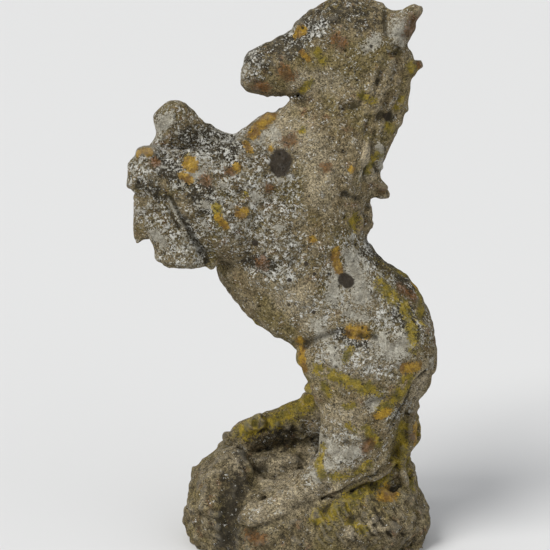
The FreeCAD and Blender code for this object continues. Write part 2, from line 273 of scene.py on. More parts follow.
def on_side(field, points, side, sunk=0.0):
    """Points given as (x, z), put on the left or right surface of the stone, or sunk in it."""
    beside_no_stone = 20
    made = []
    for x, z in points:
        i = int(round((x - AXES[0][0]) / VOXEL))
        k = int(round((z - AXES[2][0]) / VOXEL))
        stone = np.nonzero(field[i, :, k] < 0)[0]
        if len(stone):
            y = AXES[1][stone[0] if side == LEFT else stone[-1]]
        else:
            y = made[-1][1] if made else side * beside_no_stone
        made.append((x, y - side * sunk, z))
    return made


def stroke(field, sides, points, width, height):
    """A brush stroke along points given as (x, z), on the sides named."""
    for side in sides:
        brush(field, on_side(field, points, side), width, height)


def strokes(field, sides, rows):
    """Brush strokes in turn, as rows of points, width and height."""
    for points, width, height in rows:
        stroke(field, sides, points, width, height)


def strand(field, sides, points, radii, sunk, soft):
    """A lock of hair along points given as (x, z), lying on the surface of the sides named."""
    lines = [on_side(field, points, side, sunk) for side in sides]
    for line in lines:
        add_tube(field, line, radii, soft)


# ---------------------------------------------------------------- the horse

def round_off(field, reach):
    """Fills the creases between limbs and trunk, and keeps what stands out."""
    sunk, soft = 0.4, 3
    return blend_in(field, blur(field, reach) + sunk, soft)


def sculpt_head(horse):
    # The outline: a fuller nose bridge and throat, a flat underside to the jaw.
    trims(horse, (
        ([(-58, 494), (-50, 502), (-39, 509), (-24, 515), (-13, 524)], 7, -2.0),
        ([(-63, 498)], 5, -1.5),
        ([(-13, 525), (-3, 535)], 6, -3.0),
        ([(-67, 461)], 5, 2.0),
        ([(-67, 487)], 4, 2.0),
        ([(-58, 457), (-44, 453)], 5, 2.8),
        ([(-18, 448), (-38, 439), (-55, 428), (-68, 418)], 8, -5.0),
    ))
    # A dip behind the poll, all the way across.
    for y in (-30, 0, 30):
        carve_tube(horse, [(82, y - 16, 546.5), (82, y + 16, 546.5)], [12, 12], 4)
    strokes(horse, BOTH, (
        # Eye: a worn socket, the ball, the brow over it, the lid and the cheekbone.
        ([(15, 519)], 9, -2.4),
        ([(15, 519)], 4.2, 2.4),
        ([(1, 524), (9, 530), (20, 530), (29, 522)], 3.4, 2.0),
        ([(6, 513), (15, 511), (24, 515)], 2.2, 0.8),
        ([(8, 506), (-12, 497), (-34, 488)], 6, 1.4),
        ([(-4, 513), (-22, 503), (-40, 493)], 5, -1.2),
        # Jaw: a rounded jowl with the neck set back under and behind it.
        ([(28, 478)], 26, 2.2),
        ([(-12, 454), (4, 448), (20, 446), (38, 447), (54, 455), (62, 468)], 5, -2.8),
        ([(62, 468), (66, 488), (66, 506)], 5, -1.2),
        ([(-8, 463), (-26, 462), (-44, 466)], 5, -0.8),
        # Muzzle: nostril and mouth.
        ([(-57, 483)], 6, 1.2),
        ([(-58, 484), (-54, 481)], 2.4, -3.0),
        ([(-69, 472), (-60, 469), (-48, 469), (-38, 472)], 1.7, -1.5),
    ))
    # Forelock, the ears, and the crease that sets each ear off from the head.
    add_tube(horse, [(62, 0, 531), (52, -3, 541), (34, -3, 543)], [9, 7, 3], 5)
    for side in BOTH:
        ear = [(80, side * 20, 512), (86, side * 23, 522), (94, side * 21, 532),
               (104, side * 18, 539)]
        add_tube(horse, ear, [12, 10, 6.5, 2.4], 3)
        brush(horse, [(89, side * 34, 510), (94, side * 31, 519), (97, side * 27, 527)], 4, -2.0)
        brush(horse, [(80, side * 33, 520), (86, side * 34, 528)], 5, 1.8)
    stroke(horse, BOTH, [(72, 538), (70, 526), (72, 511), (80, 503), (92, 502)], 2.6, -4.2)
    trims(horse, (
        ([(96, 502)], 5, 4.5),
        ([(109, 536), (106, 528)], 4, 3.0),
        ([(102, 519), (98, 510)], 5, -1.5),
    ))
    # The narrow wedge of air between chin and neck. It leans with the jaw's underside.
    half_width, lean = 42, 4
    wedge = ((-37, 447, 8.5), (-30, 449, 6.4), (-26, 450.3, 5.1), (-22, 451.9, 4.0),
             (-18, 453.3, 3.0), (-15, 454.3, 2.4), (-12, 455, 1.8))
    for x, z, radius in wedge:
        ends = [(x, -half_width, z + lean), (x, half_width, z - lean)]
        carve_tube(horse, ends, radius, 1.2)


def sculpt_mane(horse):
    # Tips that stand clear behind the neck, from the poll down to the withers.
    tips = (
        ([(84, -6, 500), (92, -7, 490), (95, -7, 482)], [9, 8, 6.5], 4),
        ([(88, 3, 478), (91, 2, 462), (91, 0, 446), (86, -2, 432)], [10, 7, 6, 3], 3),
        ([(69, -6, 430), (73, -8, 418), (69, -8, 406), (62, -8, 394)], [9, 7, 6, 4], 3),
        ([(52, -4, 392), (60, -6, 378), (67, -8, 370), (73, -8, 366)], [11, 9, 6, 3.4], 3),
        ([(44, -4, 354), (53, -5, 343), (54, -5, 333), (51, -4, 320)], [12, 8.5, 8, 6], 4),
    )
    for points, radii, soft in tips:
        add_tube(horse, points, radii, soft)
    trims(horse, (
        ([(84, 404), (78, 392), (74, 381)], 7, 7.0),
        ([(88, 421), (85, 414)], 4, 4.0),
        ([(96, 440)], 4, -2.5),
        ([(62, 351)], 6, 4.5),
        ([(64, 326)], 4, 2.0),
        ([(58, 314)], 6, 3.0),
    ))
    # Each lock runs from the crest down the side of the neck. The last ones flick back.
    locks = (
        ([(66, 498), (58, 474), (54, 450), (48, 424), (40, 402), (36, 380), (38, 368)],
         [4, 5, 6, 6, 5.5, 5, 2.5]),
        ([(76, 490), (70, 466), (62, 444), (56, 424), (52, 404), (46, 384), (46, 368)],
         [5, 6, 6, 6, 6, 5, 3]),
        ([(84, 482), (80, 458), (74, 440), (66, 424), (62, 406), (59, 392), (60, 376)],
         [5, 6, 5, 5, 5, 4, 3]),
        ([(92, 482), (90, 462), (86, 446), (82, 436)], [4, 5, 5, 2]),
        ([(44, 352), (48, 338), (46, 322)], [3, 5, 3]),
        ([(58, 354), (58, 340), (54, 326)], [2, 4, 3]),
    )
    for points, radii in locks:
        strand(horse, BOTH, points, radii, sunk=2.0, soft=1.5)
    # Gaps between the locks, with one more lock standing in a gap.
    strokes(horse, BOTH, (
        ([(62, 434), (70, 438), (80, 434)], 5.5, -5),
        ([(54, 430), (45, 410), (36, 386)], 2.2, -2.4),
    ))
    strand(horse, BOTH, [(67, 408), (68, 398), (70, 386)], [2.5, 4.5, 2.2], sunk=0.4, soft=1.2)
    strokes(horse, BOTH, (
        ([(61, 406), (61, 394), (64, 384)], 2.2, -4.5),
        ([(74, 404), (75, 394), (74, 386)], 1.6, -3),
        ([(66, 383)], 2.6, -4),
        ([(53, 389), (53, 377)], 2.4, -6),
        ([(33, 364), (41, 360), (50, 356)], 3.4, -5),
        ([(51, 346), (52, 330)], 2, -3),
        # Low swellings and a dip on the side of the neck.
        ([(78, 470), (74, 456)], 3, 1.2),
        ([(66, 466), (60, 446)], 4, 1.0),
        ([(28, 400), (25, 384), (30, 366)], 5, -1.4),
    ))


def sculpt_trunk(horse):
    strokes(horse, BOTH, (
        # Shoulder, the soft line behind the elbow, the ribs and the flank.
        ([(-52, 378)], 26, 2.2),
        ([(-72, 340)], 22, 2.6),
        ([(-94, 292), (-72, 290), (-44, 292), (-16, 300)], 7, -2.4),
        ([(-16, 300), (-6, 330), (-14, 362)], 10, -1.6),
        ([(-4, 216), (8, 224), (28, 232), (44, 228), (62, 227)], 4, -3.0),
        ([(-4, 214)], 6, -3.2),
        # Thigh, rump and the dip in front of the hip.
        ([(30, 196)], 26, 2.0),
        ([(84, 236)], 26, 2.0),
        ([(22, 262), (34, 280)], 14, -1.4),
        # A worn edge where the back turns over, from the saddle to the rump.
        ([(52, 312), (70, 296), (90, 276), (104, 256)], 5, 1.6),
    ))
    trims(horse, (
        ([(-89, 277), (-84, 268)], 7, -1.0),
        ([(-8, 190), (-6, 180), (-3, 168)], 6, 9.0),
        ([(100, 278), (112, 250)], 9, -2.0),
        ([(119, 232), (124, 206)], 9, -1.5),
        ([(66, 304), (76, 295)], 8, 0.5),
        ([(-71, 256), (-66, 248)], 7, 1.0),
        ([(121, 172)], 6, 3.0),
    ))


def sculpt_forelegs(horse):
    # The outline: fuller knees, and a notch between the two hooves.
    trims(horse, (
        ([(-151, 407), (-162, 405)], 6, -7.0),
        ([(-177, 398)], 5, 1.0),
        ([(-174, 370), (-172, 358)], 7, -5.0),
    ), y=-38, spread=30)
    trims(horse, (
        ([(-159, 414)], 7, 11.0),
        ([(-157, 433)], 6, -2.0),
        ([(-149, 448)], 5, 4.0),
        ([(-102, 431), (-96, 426)], 6, -2.0),
    ), y=25, spread=30)
    add_tube(horse, [(-137, -38, 301)], 7, 4)
    trim(horse, [(-141, 447), (-130, 448)], 8, -1.5, y=25, spread=30)
    trims(horse, (
        ([(-163, 305), (-156, 306)], 6, 6.0),
        ([(-178, 346), (-178, 312)], 6, -2.5),
    ), y=25, spread=25)
    trims(horse, (
        ([(-142, 293), (-131, 291), (-104, 289)], 6, 4.5),
        ([(-150, 303)], 6, -3.0),
    ), y=-40, spread=30)
    trim(horse, [(-95, 294)], 6, -4.0, y=-30, spread=30)
    # Left: bulky knee, the groove between shank and forearm, and a thin ridge beside it.
    strokes(horse, [LEFT], (
        ([(-152, 388)], 13, 1.8),
        ([(-176, 368), (-160, 362), (-146, 364)], 6, -2.2),
        ([(-134, 362), (-126, 346), (-116, 328), (-104, 308), (-96, 292)], 3.0, -3.8),
        ([(-139, 356), (-131, 342), (-126, 334)], 2.4, -2.0),
        ([(-135, 362), (-130, 350), (-122, 334)], 1.7, 3.8),
        ([(-152, 309), (-126, 305), (-102, 308)], 2.6, -1.8),
        ([(-146, 300), (-124, 297), (-106, 300)], 5, 1.2),
        ([(-150, 352), (-146, 330), (-148, 314)], 5, -1.6),
        ([(-108, 386), (-84, 372)], 10, -1.2),
    ))
    # The crook of the left foreleg is nearly closed by stone.
    add_tube(horse, [(-112, -30, 352), (-104, -30, 326), (-94, -28, 306)], [16, 13, 10], 8)
    # Right: a round knee on a thin forearm, and a worn hoof.
    strokes(horse, [RIGHT], (
        ([(-134, 428)], 13, 1.8),
        ([(-156, 402), (-144, 400), (-130, 404)], 5, -2),
        ([(-176, 326), (-158, 323), (-142, 326)], 2.6, -1.6),
    ))
    brush(horse, [(-92, 14, 420), (-112, 12, 416)], 9, -2.5)
    # The left knee is set off from the forearm behind it.
    stroke(horse, [LEFT], [(-128, 410), (-112, 413), (-92, 410)], 5, -1.5)


def sculpt_hind_legs(horse):
    # Stifle, gaskin, hock and the tendon line behind them.
    strokes(horse, BOTH, (
        ([(12, 168), (18, 140), (20, 118)], 8, -1.2),
        ([(56, 162), (80, 166)], 3, -1.4),
        ([(74, 172), (62, 146), (57, 122)], 6, -1.6),
        ([(16, 122), (40, 118), (66, 124)], 2.4, -1.8),
        ([(34, 108), (44, 100)], 12, 1.6),
    ))
    stroke(horse, [LEFT], [(22, 92), (2, 72), (-16, 62)], 4.5, 1.4)
    # Left hoof: a long wedge that lies along the rock.
    add_tube(horse, [(2, -50, 70), (-20, -55, 60), (-44, -59, 53), (-62, -57, 48)],
             [15, 11, 8.5, 7], 5)
    add_tube(horse, [(-30, -64, 50), (-54, -66, 44), (-66, -62, 42)], [8, 8, 6], 5)
    # Right: the shank along the rock, and the line above the hoof.
    strokes(horse, [RIGHT], (
        ([(20, 130), (-6, 118), (-30, 110)], 5, 1.6),
        ([(-48, 116), (-44, 102), (-42, 92)], 3, -2),
    ))
    trims(horse, (
        ([(-5, 144), (2, 148)], 6, -3.0),
        ([(-52, 121), (-16, 137)], 8, 2.0),
    ), y=30, spread=20)


def sculpt_tail(horse):
    # The crack that sets the tail off from the thigh, and the tail sunk behind it.
    stroke(horse, BOTH, [(120, 182), (108, 166), (98, 150), (88, 136)], 6, -3.0)
    # Strands from the dock down to the ground. The lower ones sweep forward round the heel.
    strands = (
        ([(119, 206), (118, 188), (111, 170), (106, 152), (106, 139)], [3, 5, 5, 5.5, 3.5]),
        ([(112, 184), (103, 166), (99, 150), (98, 139)], [2, 3.5, 4, 2.5]),
        ([(102, 140), (108, 126), (107, 108), (99, 92)], [3, 5.5, 6.5, 4]),
        ([(97, 140), (100, 122), (99, 104), (94, 90)], [3, 4, 4.5, 4]),
        ([(90, 140), (93, 120), (92, 102), (86, 90), (70, 82), (50, 76), (26, 64), (4, 54)],
         [3, 4, 4.5, 5, 5, 4.5, 4, 2.5]),
        ([(100, 94), (104, 74), (107, 54)], [5, 6, 4]),
        ([(94, 92), (88, 76), (70, 66), (46, 56), (22, 48)], [4, 5, 5, 4.5, 3]),
        ([(80, 116), (74, 98), (58, 87), (31, 70), (10, 63), (-8, 59)], [3, 4.5, 4, 3.5, 3, 2]),
    )
    for points, radii in strands:
        strand(horse, BOTH, points, radii, sunk=2.0, soft=1.3)
    # Strands on the back of the tail, side by side across it.
    for y in (-12, -4, 4, 12):
        lean = abs(y) / 4
        back = [(123 - lean, y, 205), (120 - lean, y * 1.2, 178), (105 - lean, y * 1.5, 148),
                (107 - lean, y * 1.7, 118), (97 - lean, y * 2.0, 92), (101 - lean, y * 2.2, 66)]
        add_tube(horse, back, [3, 5, 5, 6.5, 6, 5], 1.8)
    # Grooves that part the strands, and one broad swelling between them.
    strokes(horse, BOTH, (
        ([(114, 189), (106, 182), (101, 175), (94, 159), (85, 144), (81, 134)], 1.9, -8),
        ([(81, 134), (76, 120), (68, 100)], 2.6, -2.5),
        ([(98, 139), (106, 136), (112, 134)], 1.6, -3),
        ([(108, 172), (104, 154), (103, 144)], 1.5, -2.4),
        ([(92, 128), (93, 104)], 5, 2.5),
        ([(98, 130), (97, 106)], 1.5, -1.6),
        ([(104, 130), (104, 108)], 1.5, -1.6),
        ([(82, 112), (76, 94), (60, 83), (36, 70), (12, 60)], 1.8, -4),
        ([(76, 78), (48, 66), (22, 56), (-2, 52)], 3, -6),
    ))
    trims(horse, (
        ([(112, 134)], 4, 4.0),
        ([(112, 146)], 6, 4.0),
        ([(110, 120)], 8, 2.5),
        ([(105, 82)], 6, 2.5),
    ))


# ---------------------------------------------------------------- the base

def sculpt_base(base):
    # The outline: the boulder slopes away from the far hoof, and the lower corners stay full.
    trims(base, (
        ([(-90, 106), (-99, 96), (-108, 87)], 8, 14.0),
        ([(-117, 76)], 7, 6.0),
    ), spread=60)
    add_tube(base, [(-86, 24, 88), (-78, 28, 96)], [9, 8], 9)
    trim(base, [(-124, 50), (-124, 32)], 9, -1.0)
    trim(base, [(118, 54), (126, 38)], 9, 4.5, spread=50)
    add_tube(base, [(106, -36, 14), (110, -10, 18)], 13, 12)
    add_tube(base, [(-106, -30, 12), (-109, -8, 12)], 11, 12)
    # The hollow between the feet, the dark gap under the far foot and the lumps round it.
    carve_tube(base, [(-62, 15, 90), (-40, 18, 91), (-4, 15, 90)], [8, 10.5, 9.5], 3)
    brush(base, [(-50, -8, 72), (-24, -8, 70)], 14, -3)
    add_tube(base, [(-72, -14, 80), (-73, -12, 88)], [12, 9.5], 4)
    add_tube(base, [(-16, -8, 66), (-4, -16, 74)], [8, 6], 3)
    add_tube(base, [(-68, -47, 50), (-50, -45, 55)], [10, 10], 6)
    lumps_on_bank = (
        (-56, 30, 104, 7), (-40, 36, 103, 9), (-22, 36, 105, 8), (-6, 34, 103, 9),
        (-58, 22, 108, 5), (-48, 24, 112, 6), (-34, 24, 110, 7), (-20, 23, 112, 5),
        (-8, 22, 111, 6),
    )
    for x, y, z, radius in lumps_on_bank:
        add_tube(base, [(x, y, z), (x + 3, y + 3, z + 1)], [radius, radius * 0.8], 3)
    add_tube(base, [(-66, 44, 96), (-20, 50, 100), (20, 54, 92)], [11, 12, 10], 8)
    carve_tube(base, [(-60, 18, 88), (-38, 23, 89), (-4, 18, 89)], [7, 10, 9], 3)
    # The valley between the boulder and the near hoof, and folds in the rock face.
    folds = (
        ([(-84, -48, 76), (-81, -57, 56), (-79, -61, 38), (-80, -63, 18)], 8, -8),
        ([(-60, -72, 23), (-30, -78, 29), (2, -79, 37)], 7, -4),
        ([(-60, -74, 20), (-30, -78, 24), (4, -79, 16)], 8, 2),
        ([(-20, -79, 18), (20, -79, 14), (60, -72, 12)], 8, -2.5),
        ([(-112, -20, 60), (-116, -10, 30)], 9, -2.5),
        ([(96, -44, 20), (116, -24, 30), (118, 6, 44)], 10, 2.5),
        ([(-90, 50, 30), (-60, 68, 40), (-20, 76, 26)], 9, -4),
        ([(40, 72, 30), (80, 60, 42)], 9, -3.5),
    )
    for points, width, height in folds:
        brush(base, points, width, height)
    # Blades of grass pressed into the rock, each with a groove behind it.
    first_x, run = 4, 86
    for side, top, count in ((LEFT, 54, 15), (LEFT, 38, 12), (RIGHT, 52, 12)):
        for number in range(count):
            x = first_x + run * number / count + rng.uniform(-1.2, 1.2)
            z = top + rng.uniform(-3, 3)
            lean = rng.uniform(9, 13)
            blade = [(x, z), (x + lean * 0.4, z - 8), (x + lean, z - 16)]
            stroke(base, [side], blade, 1.5, 2.6)
            stroke(base, [side], [(x + 3, z) for x, z in blade], 1.3, -2.4)


def part_hoof_from_rock(field):
    """A crack below the left hind hoof, through horse and rock alike."""
    brush(field, [(-66, -67, 28), (-47, -72, 36), (-29, -73, 45), (-9, -71, 52)], 3.2, -4.5)


def places_near_surface(field):
    """Every second grid place along each axis that lies at the surface."""
    near = np.argwhere(np.abs(field[::2, ::2, ::2]) < VOXEL) * 2
    return np.column_stack([axis[near[:, i]] for i, axis in enumerate(AXES)])


def scatter_rubble(field, count, low_z, high_z):
    """Sets small lumps and dents in the surface at seeded places between two heights."""
    lump, dent = 0.42, -0.38
    near = places_near_surface(field)
    near = near[(near[:, 2] > low_z) & (near[:, 2] < high_z)]
    for place in near[rng.choice(len(near), count, replace=False)]:
        radius = rng.uniform(2.0, 5.5)
        brush(field, [place], radius, radius * rng.choice((lump, dent)))


def sink_holes(field, count, smallest, largest):
    """Sinks casting holes at seeded places on the surface. Most are small."""
    near = places_near_surface(field)
    for place in near[rng.choice(len(near), count, replace=False)]:
        radius = smallest + (largest - smallest) * rng.random() ** 3
        carve_tube(field, [place], radius, 0.8)


horse = round_off(casting_field("horse_casting"), 9)
base = round_off(casting_field("base_casting"), 6)
sculpt_trunk(horse)
sculpt_head(horse)
sculpt_forelegs(horse)
sculpt_hind_legs(horse)
sculpt_mane(horse)
sculpt_tail(horse)
sculpt_base(base)
for field in (horse, base):
    part_hoof_from_rock(field)

# Worn and grainy surfaces: the base is rougher than the horse.
swells = noise(42)
waves = noise(17)
lumps = noise(8.5)
grit = noise(4)
horse += 0.5 * waves + 0.6 * lumps + 0.42 * grit
base += 1.2 * swells + 1.3 * waves + 1.1 * lumps + 0.85 * grit
scatter_rubble(base, 700, 2, 118)
scatter_rubble(horse, 90, 20, 78)
sink_holes(horse, 420, 0.9, 1.9)
sink_holes(base, 140, 0.8, 1.8)

# The underside stays flat, and everything stays inside the CAD box.
CLEARANCE = 0.05
x, y, z = AXES[0][:, None, None], AXES[1][None, :, None], AXES[2][None, None, :]
box_low, box_high = (np.array(corner) / UNIT for corner in (CAD_LOW, CAD_HIGH))
for axis, a, b in zip((x, y, z), box_low, box_high):
    for field in (horse, base):
        np.maximum(field, a + CLEARANCE - axis, out=field)
        np.maximum(field, axis - b + CLEARANCE, out=field)

# The base climbs a little up the hooves and the tail. The horse goes on a little way into it.
SKIRT = 5  # how far the base climbs, and how deep the horse goes on into it
TUCK = 0.35  # how far the climbing rim lies below the horse's surface
LINING = 3  # how deep the rim's stone goes on under the horse's surface
rim = blend_in(base, horse + TUCK, 3.5)
base_stone = np.maximum(np.maximum(rim, base - SKIRT), -(horse + LINING))
horse_stone = np.maximum(horse, -(base + SKIRT))
whole = np.minimum(horse, rim)
# Hollows and creases of the whole stone, for the painted shade in them and the painted highlight on
# ridges.
hollows = blur(whole, 9)
creases = blur(whole, 3.5)


# ---------------------------------------------------------------- lichen

# Broad zones on both sides, as points (x, z) and a radius.
ZONES = {
    "crust": [
        ([(-165, 392), (-140, 400), (-110, 392), (-84, 388)], 30), ([(-144, 425)], 22),
        ([(-72, 396), (-48, 384), (-64, 350), (-90, 350)], 36), ([(-150, 340), (-120, 312)], 28),
        ([(-62, 486)], 16), ([(-14, 514), (10, 522)], 12), ([(40, 300), (34, 264)], 30),
        ([(64, 262), (92, 238)], 30), ([(30, 214), (80, 212)], 26), ([(-36, 336), (-30, 300)], 30),
        ([(10, 250)], 24), ([(20, 100), (40, 108)], 24), ([(92, 520)], 18), ([(84, 150)], 16),
    ],
    # Light zones are lighter clean cement. On the boulder's knob this is a painted highlight.
    "light": [
        ([(34, 142), (32, 112), (14, 84)], 26), ([(4, 68), (-26, 58), (-50, 50)], 13),
        ([(20, 200), (70, 206)], 24), ([(-30, 426), (0, 408), (10, 372)], 22),
        ([(54, 404), (58, 382)], 12),
        ([(8, 244), (-20, 266)], 22), ([(84, 518)], 14), ([(-10, 470), (20, 470)], 14),
        ([(40, 280), (48, 262)], 20), ([(112, 190), (106, 150)], 12),
        ([(-66, 480)], 12), ([(-72, 88)], 10), ([(-46, 72), (-20, 74)], 10),
        ([(40, 34), (68, 38)], 8),
    ],
    "film": [
        ([(6, 486), (34, 476), (52, 494)], 26), ([(-20, 478)], 14), ([(40, 440), (56, 420)], 14),
        ([(64, 296), (100, 256)], 16), ([(-44, 250), (-16, 220)], 16), ([(-40, 116), (0, 130)], 14),
        ([(92, 124), (90, 92)], 16), ([(20, 40), (84, 66)], 18), ([(-6, 392), (-16, 360)], 14),
    ],
    # Soot zones add black algae. At the nostril, behind the far knee, under the far foot, in the
    # valley by the boulder and along the shaded top of the back they are painted shade.
    "soot_and_shade": [
        ([(-56, 498), (-40, 502), (-24, 506), (-14, 500)], 15),
        ([(0, 526), (26, 536), (50, 530)], 18),
        ([(-118, 412), (-92, 412), (-76, 404)], 13), ([(-46, 491), (-40, 484)], 9),
        ([(-160, 374), (-140, 366)], 9), ([(-140, 392), (-112, 378), (-100, 360)], 15),
        ([(60, 306), (84, 288), (104, 266)], 12),
        ([(-122, 344), (-106, 312), (-100, 300)], 4), ([(-60, 300), (-40, 296)], 10),
        ([(-74, 70), (-80, 40), (-82, 16)], 15), ([(-20, 100), (-60, 100)], 14),
        ([(30, 228), (52, 224)], 9),
        ([(68, 404), (70, 384)], 6), ([(90, 250), (100, 230)], 12),
    ],
}

# Growths on the left side: points as (x, z), and a radius.
GROWTHS = {
    "ochre": [
        ([(-40, 437), (-47, 431), (-54, 421)], 8), ([(-62, 412), (-58, 406)], 4), ([(-65, 348)], 7),
        ([(-116, 397), (-113, 392)], 6.5), ([(-115, 380), (-122, 384)], 4.5), ([(-70, 392)], 5.5),
        ([(-164, 404), (-160, 407), (-154, 406)], 5), ([(24, 309), (25, 298), (28, 290)], 5),
        ([(2, 321)], 4.5), ([(40, 231), (52, 230)], 7.5), ([(-13, 515), (-8, 518)], 6),
        ([(82, 60), (76, 58)], 8.5), ([(92, 196), (106, 196)], 6), ([(66, 147), (76, 150)], 5),
        ([(40, 388)], 4), ([(-38, 407)], 3), ([(96, 290), (104, 276), (108, 262)], 5),
        ([(-9, 219), (-8, 205), (-5, 192)], 5), ([(-88, 344), (-80, 336)], 4),
        ([(-8, 498), (-2, 492)], 3.5), ([(108, 126), (108, 108)], 4),
    ],
    "rust": [
        ([(-26, 480), (-20, 476)], 6.5), ([(97, 528), (92, 518)], 7), ([(23, 511), (30, 507)], 6),
        ([(-52, 465), (-44, 464)], 6), ([(-20, 416)], 8), ([(-77, 388)], 5), ([(-47, 299)], 7),
        ([(72, 362)], 5), ([(90, 267), (100, 260)], 7), ([(-60, 28), (-48, 24)], 6),
        ([(-100, 380)], 6), ([(104, 484)], 4), ([(60, 118), (56, 114)], 5),
        ([(14, 390)], 6), ([(-40, 372)], 5), ([(-148, 396)], 5), ([(104, 116)], 4),
    ],
    "moss": [
        ([(8, 194), (22, 189), (40, 183), (54, 177)], 6.5), ([(56, 180), (68, 170)], 5),
        ([(14, 180), (18, 168)], 4), ([(44, 160), (36, 158)], 4),
        ([(86, 292), (94, 278)], 8), ([(104, 268), (110, 250), (112, 236)], 7), ([(74, 300)], 7),
        ([(72, 272), (80, 262)], 9), ([(92, 256), (98, 238), (101, 214)], 6),
        ([(97, 184), (86, 166), (72, 154)], 7), ([(94, 126), (94, 104), (88, 88)], 7),
        ([(110, 124), (108, 100), (98, 84)], 7), ([(102, 72), (106, 60)], 5),
        ([(56, 134), (68, 116)], 5), ([(38, 138), (44, 132)], 4),
        ([(-66, 108), (-44, 118), (-22, 127), (0, 138)], 12),
        ([(-82, 248), (-66, 234), (-48, 222)], 5), ([(-12, 204), (-6, 178), (-2, 160)], 6),
        ([(10, 48), (30, 56), (54, 66), (76, 78)], 9), ([(14, 110), (10, 96), (14, 84)], 5),
        ([(24, 84), (44, 88), (58, 96)], 5), ([(41, 338), (46, 330)], 7),
        ([(66, 400), (56, 386)], 5), ([(80, 424), (74, 428)], 5), ([(98, 484), (102, 478)], 6),
        ([(90, 452), (84, 446)], 5), ([(6, 500), (12, 490)], 4), ([(40, 40), (54, 34)], 5),
        ([(-118, 400)], 5), ([(-90, 356), (-86, 340)], 4), ([(-8, 424)], 4),
        ([(34, 206), (38, 214)], 4),
        ([(-64, 366)], 4), ([(60, 452), (48, 458)], 4), ([(0, 470), (-8, 462)], 4),
    ],
    # Pale lichen. The thin line on the left foreleg's ridge and the one on the mane's raised lock
    # are painted highlights.
    "pale": [
        ([(40, 300), (46, 280), (50, 262)], 12), ([(26, 290), (22, 264)], 8), ([(38, 250)], 8),
        ([(8, 236), (14, 226)], 9), ([(70, 222), (84, 212), (92, 222)], 13),
        ([(44, 246), (54, 244)], 5),
        ([(22, 214), (26, 204)], 8), ([(80, 522), (84, 512)], 9.5), ([(54, 503), (62, 510)], 7),
        ([(-118, 384), (-104, 386)], 8), ([(-67, 486), (-68, 474)], 7), ([(-30, 334)], 6),
        ([(12, 116), (30, 108), (44, 112)], 9), ([(-52, 412), (-44, 420)], 6),
        ([(66, 168), (60, 158)], 8),
        ([(-52, 362)], 6), ([(-140, 430), (-150, 420)], 8), ([(6, 84), (20, 96)], 7),
        ([(-36, 424), (-32, 418)], 6), ([(-84, 374)], 5), ([(-100, 356)], 5), ([(-28, 378)], 5),
        ([(67, 408), (68, 398), (70, 386)], 4.5), ([(-150, 326), (-142, 318)], 8),
        ([(120, 200), (122, 190)], 4),
        ([(-135, 362), (-130, 350), (-122, 334)], 2),
    ],
    # Dark growths. The one in the mane's deep recess is painted shade.
    "dark": [
        ([(-28, 398), (-29, 393)], 12), ([(32, 281), (37, 279)], 7), ([(-53, 318)], 4),
        ([(-4, 298)], 2.6),
        ([(74, 436)], 5.5), ([(-20, 282)], 2.5), ([(4, 288)], 2.2),
        ([(4, 250)], 2.5), ([(84, 60)], 2.6),
    ],
}


# Growths at seeded places elsewhere: how many, and their smallest and largest radius.
SEEDED = {
    "ochre": (30, 2.5, 7.5),
    "rust": (18, 3, 7),
    "moss": (44, 4, 12),
    "pale": (46, 4, 14),
    "dark": (9, 2, 8),
}


def seeded_growths(count, smallest, largest):
    """Round growths at seeded places on the right side, and right of the neck's middle."""
    places = places_near_surface(whole)
    x, y, z = places.T
    places = places[(y > 40) | (y > 12) & (x > -80) & (z > 300)]
    chosen = places[rng.choice(len(places), count, replace=False)]
    return [([place], rng.uniform(smallest, largest)) for place in chosen]


def growth_field(points, found):
    """How deep each point lies in a growth: 1 at its middle, 0 at its rim, -1 well outside."""
    depth = np.full(len(points), -1.0, np.float32)
    for line, radius in found:
        rows = smooth_line(line, 0)
        near = np.all((points > rows[:, :3].min(0) - 2 * radius)
                      & (points < rows[:, :3].max(0) + 2 * radius), axis=1)
        px, py, pz = points[near].T
        depth[near] = np.maximum(depth[near], 1 - line_distance(rows, (px, py, pz)) / radius)
    return depth


def sampled(field, points):
    """A field's values at points, between the grid's own places."""
    place = (points - GRID_LOW) / VOXEL
    cell = np.clip(place.astype(int), 0, SHAPE - 2)
    part = place - cell
    total = np.zeros(len(points), np.float32)
    for corner in np.ndindex(2, 2, 2):
        weight = np.prod(np.where(corner, part, 1 - part), axis=1)
        total += weight * field[tuple((cell + corner).T)]
    return total


# ---------------------------------------------------------------- pieces

growths = {}
for kind, seeds in SEEDED.items():
    left = [(on_side(whole, line, LEFT), radius) for line, radius in GROWTHS[kind]]
    growths[kind] = left + seeded_growths(*seeds)


def stone_piece(name, field, node, material):
    """The mesh of a field in place of a casting, with what its material needs at each point."""
    points, quads = main_lump(*surface(field))
    mesh = bpy.data.meshes.new(name)
    mesh.from_pydata((points * UNIT).tolist(), [], quads[:, ::-1].tolist())
    mesh.validate()
    mesh.polygons.foreach_set("use_smooth", np.ones(len(mesh.polygons), bool))
    # How deep each point lies in a hollow or a crease, for the painted shade and the painted ridge
    # highlight.
    full_hollow, full_crease = 4, 1.5
    values = {
        "hollow": -sampled(hollows, points) / full_hollow,
        "crease": -sampled(creases, points) / full_crease,
    }
    for kind, found in growths.items():
        values[kind] = growth_field(points, found)
    flat = points * (1, 0, 1)
    for kind, zones in ZONES.items():
        through = [([(x, 0, z) for x, z in line], radius) for line, radius in zones]
        values[kind] = growth_field(flat, through)
    for key, value in values.items():
        layer = mesh.attributes.new(key, "FLOAT", "POINT")
        layer.data.foreach_set("value", value.astype(np.float32))
    piece = bpy.data.objects.new(name, mesh)
    bpy.context.collection.objects.link(piece)
    mesh.materials.append(material)
    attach(piece, "root")
    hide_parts(node)
    return piece


# ---------------------------------------------------------------- materials

